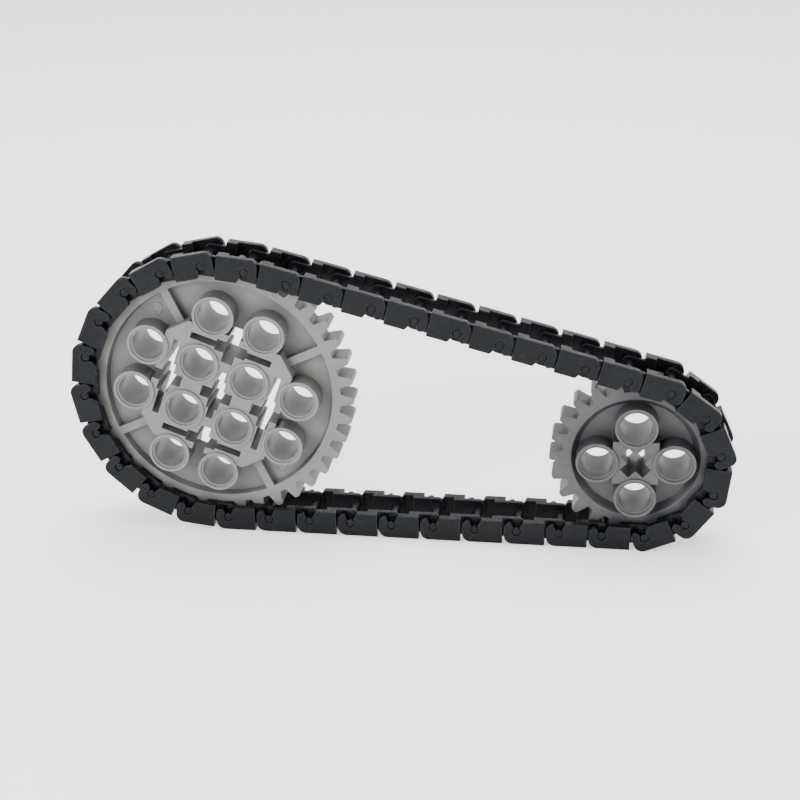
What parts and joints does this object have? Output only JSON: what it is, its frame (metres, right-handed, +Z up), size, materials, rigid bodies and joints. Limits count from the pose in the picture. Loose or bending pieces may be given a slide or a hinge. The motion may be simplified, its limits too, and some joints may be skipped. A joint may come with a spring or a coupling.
{
  "type": "toy link chain drive",
  "caption": "Snap-together plastic link chain running round a large and a small gear, with open pin holes and cross axle holes in both gears.",
  "frame": {"origin": "on the table under the middle of the whole drive, which stands on its lower strand", "axes": "+X along the lower strand from the large gear to the small gear, +Y along the gear axes away from the front, +Z up"},
  "size_m": [0.1, 0.0084, 0.0453],
  "materials": {
    "light_grey_plastic": "satin moulded",
    "dark_grey_plastic": "satin moulded",
    "black_plastic": "satin moulded"
  },
  "bodies": {
    "lower_strand": {"chain_link_01": "black_plastic", "chain_link_02": "black_plastic", "chain_link_03": "black_plastic", "chain_link_04": "black_plastic", "chain_link_05": "black_plastic", "chain_link_06": "black_plastic", "chain_link_07": "black_plastic", "chain_link_08": "black_plastic", "chain_link_09": "black_plastic", "chain_link_10": "black_plastic"},
    "large_gear": {"large_gear": "light_grey_plastic"},
    "small_gear": {"small_gear": "dark_grey_plastic"},
    "chain_link_11": {"chain_link_11": "black_plastic"},
    "chain_link_12": {"chain_link_12": "black_plastic"},
    "chain_link_13": {"chain_link_13": "black_plastic"},
    "chain_link_14": {"chain_link_14": "black_plastic"},
    "chain_link_15": {"chain_link_15": "black_plastic"},
    "chain_link_16": {"chain_link_16": "black_plastic"},
    "chain_link_17": {"chain_link_17": "black_plastic"},
    "chain_link_18": {"chain_link_18": "black_plastic"},
    "chain_link_19": {"chain_link_19": "black_plastic"},
    "chain_link_20": {"chain_link_20": "black_plastic"},
    "chain_link_21": {"chain_link_21": "black_plastic"},
    "chain_link_22": {"chain_link_22": "black_plastic"},
    "chain_link_23": {"chain_link_23": "black_plastic"},
    "chain_link_24": {"chain_link_24": "black_plastic"},
    "chain_link_25": {"chain_link_25": "black_plastic"},
    "chain_link_26": {"chain_link_26": "black_plastic"},
    "chain_link_27": {"chain_link_27": "black_plastic"},
    "chain_link_28": {"chain_link_28": "black_plastic"},
    "chain_link_29": {"chain_link_29": "black_plastic"},
    "chain_link_30": {"chain_link_30": "black_plastic"},
    "chain_link_31": {"chain_link_31": "black_plastic"},
    "chain_link_32": {"chain_link_32": "black_plastic"},
    "chain_link_33": {"chain_link_33": "black_plastic"},
    "chain_link_34": {"chain_link_34": "black_plastic"},
    "chain_link_35": {"chain_link_35": "black_plastic"},
    "chain_link_36": {"chain_link_36": "black_plastic"}
  },
  "joints": [
    {"name": "large_gear_roll", "type": "hinge", "parent": "lower_strand", "child": "large_gear", "pos_m": [-0.02661, 0, 0.00223], "axis": [0, 1, 0], "range_deg": [-3.6, 3.6]},
    {"name": "small_gear_roll", "type": "hinge", "parent": "lower_strand", "child": "small_gear", "pos_m": [0.03739, 0, 0.00223], "axis": [0, 1, 0], "range_deg": [-6.01, 6.01]},
    {"name": "link_11_carried", "type": "hinge", "parent": "lower_strand", "child": "chain_link_11", "pos_m": [-0.02661, 0, 0.00223], "axis": [0, 1, 0], "range_deg": [-3.6, 3.6]},
    {"name": "link_12_carried", "type": "hinge", "parent": "lower_strand", "child": "chain_link_12", "pos_m": [-0.02661, 0, 0.00223], "axis": [0, 1, 0], "range_deg": [-3.6, 3.6]},
    {"name": "link_13_carried", "type": "hinge", "parent": "lower_strand", "child": "chain_link_13", "pos_m": [-0.02661, 0, 0.00223], "axis": [0, 1, 0], "range_deg": [-3.6, 3.6]},
    {"name": "link_14_carried", "type": "hinge", "parent": "lower_strand", "child": "chain_link_14", "pos_m": [-0.02661, 0, 0.00223], "axis": [0, 1, 0], "range_deg": [-3.6, 3.6]},
    {"name": "link_15_carried", "type": "hinge", "parent": "lower_strand", "child": "chain_link_15", "pos_m": [-0.02661, 0, 0.00223], "axis": [0, 1, 0], "range_deg": [-3.6, 3.6]},
    {"name": "link_16_carried", "type": "hinge", "parent": "lower_strand", "child": "chain_link_16", "pos_m": [-0.02661, 0, 0.00223], "axis": [0, 1, 0], "range_deg": [-3.6, 3.6]},
    {"name": "link_17_carried", "type": "hinge", "parent": "lower_strand", "child": "chain_link_17", "pos_m": [-0.02661, 0, 0.00223], "axis": [0, 1, 0], "range_deg": [-3.6, 3.6]},
    {"name": "link_18_carried", "type": "hinge", "parent": "lower_strand", "child": "chain_link_18", "pos_m": [-0.02661, 0, 0.00223], "axis": [0, 1, 0], "range_deg": [-3.6, 3.6]},
    {"name": "link_19_carried", "type": "hinge", "parent": "lower_strand", "child": "chain_link_19", "pos_m": [-0.02661, 0, 0.00223], "axis": [0, 1, 0], "range_deg": [-3.6, 3.6]},
    {"name": "link_20_carried", "type": "hinge", "parent": "lower_strand", "child": "chain_link_20", "pos_m": [-0.02661, 0, 0.00223], "axis": [0, 1, 0], "range_deg": [-3.6, 3.6]},
    {"name": "link_21_carried", "type": "hinge", "parent": "lower_strand", "child": "chain_link_21", "pos_m": [-0.02661, 0, 0.00223], "axis": [0, 1, 0], "range_deg": [-3.6, 3.6]},
    {"name": "link_32_carried", "type": "hinge", "parent": "lower_strand", "child": "chain_link_32", "pos_m": [0.03739, 0, 0.00223], "axis": [0, 1, 0], "range_deg": [-6.01, 6.01]},
    {"name": "link_33_carried", "type": "hinge", "parent": "lower_strand", "child": "chain_link_33", "pos_m": [0.03739, 0, 0.00223], "axis": [0, 1, 0], "range_deg": [-6.01, 6.01]},
    {"name": "link_34_carried", "type": "hinge", "parent": "lower_strand", "child": "chain_link_34", "pos_m": [0.03739, 0, 0.00223], "axis": [0, 1, 0], "range_deg": [-6.01, 6.01]},
    {"name": "link_35_carried", "type": "hinge", "parent": "lower_strand", "child": "chain_link_35", "pos_m": [0.03739, 0, 0.00223], "axis": [0, 1, 0], "range_deg": [-6.01, 6.01]},
    {"name": "link_36_carried", "type": "hinge", "parent": "lower_strand", "child": "chain_link_36", "pos_m": [0.03739, 0, 0.00223], "axis": [0, 1, 0], "range_deg": [-6.01, 6.01]},
    {"name": "upper_strand_tilt", "type": "hinge", "parent": "chain_link_21", "child": "chain_link_22", "pos_m": [-0.02182, 0, 0.04235], "axis": [0, 1, 0], "range_deg": [-3.64, 3.64]},
    {"name": "upper_strand_sag", "type": "hinge", "parent": "chain_link_22", "child": "chain_link_23", "pos_m": [-0.01564, 0, 0.04071], "axis": [0, 1, 0], "range_deg": [0, 3]},
    {"name": "link_24_flex", "type": "hinge", "parent": "chain_link_23", "child": "chain_link_24", "pos_m": [-0.00945, 0, 0.03907], "axis": [0, 1, 0], "range_deg": [-0.755, 0]},
    {"name": "link_25_flex", "type": "hinge", "parent": "chain_link_24", "child": "chain_link_25", "pos_m": [-0.00326, 0, 0.03744], "axis": [0, 1, 0], "range_deg": [-0.755, 0]},
    {"name": "link_26_flex", "type": "hinge", "parent": "chain_link_25", "child": "chain_link_26", "pos_m": [0.00292, 0, 0.0358], "axis": [0, 1, 0], "range_deg": [-0.755, 0]},
    {"name": "link_27_flex", "type": "hinge", "parent": "chain_link_26", "child": "chain_link_27", "pos_m": [0.00911, 0, 0.03416], "axis": [0, 1, 0], "range_deg": [-0.755, 0]},
    {"name": "link_28_flex", "type": "hinge", "parent": "chain_link_27", "child": "chain_link_28", "pos_m": [0.0153, 0, 0.03252], "axis": [0, 1, 0], "range_deg": [-0.755, 0]},
    {"name": "link_29_flex", "type": "hinge", "parent": "chain_link_28", "child": "chain_link_29", "pos_m": [0.02148, 0, 0.03088], "axis": [0, 1, 0], "range_deg": [-0.755, 0]},
    {"name": "link_30_flex", "type": "hinge", "parent": "chain_link_29", "child": "chain_link_30", "pos_m": [0.02767, 0, 0.02924], "axis": [0, 1, 0], "range_deg": [-0.755, 0]},
    {"name": "link_31_flex", "type": "hinge", "parent": "chain_link_30", "child": "chain_link_31", "pos_m": [0.03386, 0, 0.0276], "axis": [0, 1, 0], "range_deg": [-0.755, 0]}
  ],
  "couplings": [
    {"joint": "small_gear_roll", "follows": "large_gear_roll", "ratio": 1.6667},
    {"joint": "link_11_carried", "follows": "large_gear_roll", "ratio": 1},
    {"joint": "link_12_carried", "follows": "large_gear_roll", "ratio": 1},
    {"joint": "link_13_carried", "follows": "large_gear_roll", "ratio": 1},
    {"joint": "link_14_carried", "follows": "large_gear_roll", "ratio": 1},
    {"joint": "link_15_carried", "follows": "large_gear_roll", "ratio": 1},
    {"joint": "link_16_carried", "follows": "large_gear_roll", "ratio": 1},
    {"joint": "link_17_carried", "follows": "large_gear_roll", "ratio": 1},
    {"joint": "link_18_carried", "follows": "large_gear_roll", "ratio": 1},
    {"joint": "link_19_carried", "follows": "large_gear_roll", "ratio": 1},
    {"joint": "link_20_carried", "follows": "large_gear_roll", "ratio": 1},
    {"joint": "link_21_carried", "follows": "large_gear_roll", "ratio": 1},
    {"joint": "link_32_carried", "follows": "large_gear_roll", "ratio": 1.6667},
    {"joint": "link_33_carried", "follows": "large_gear_roll", "ratio": 1.6667},
    {"joint": "link_34_carried", "follows": "large_gear_roll", "ratio": 1.6667},
    {"joint": "link_35_carried", "follows": "large_gear_roll", "ratio": 1.6667},
    {"joint": "link_36_carried", "follows": "large_gear_roll", "ratio": 1.6667},
    {"joint": "upper_strand_tilt", "follows": "large_gear_roll", "ratio": -1.008},
    {"joint": "link_24_flex", "follows": "upper_strand_sag", "ratio": -0.25},
    {"joint": "link_25_flex", "follows": "upper_strand_sag", "ratio": -0.25},
    {"joint": "link_26_flex", "follows": "upper_strand_sag", "ratio": -0.25},
    {"joint": "link_27_flex", "follows": "upper_strand_sag", "ratio": -0.25},
    {"joint": "link_28_flex", "follows": "upper_strand_sag", "ratio": -0.25},
    {"joint": "link_29_flex", "follows": "upper_strand_sag", "ratio": -0.25},
    {"joint": "link_30_flex", "follows": "upper_strand_sag", "ratio": -0.25},
    {"joint": "link_31_flex", "follows": "upper_strand_sag", "ratio": -0.25}
  ]
}
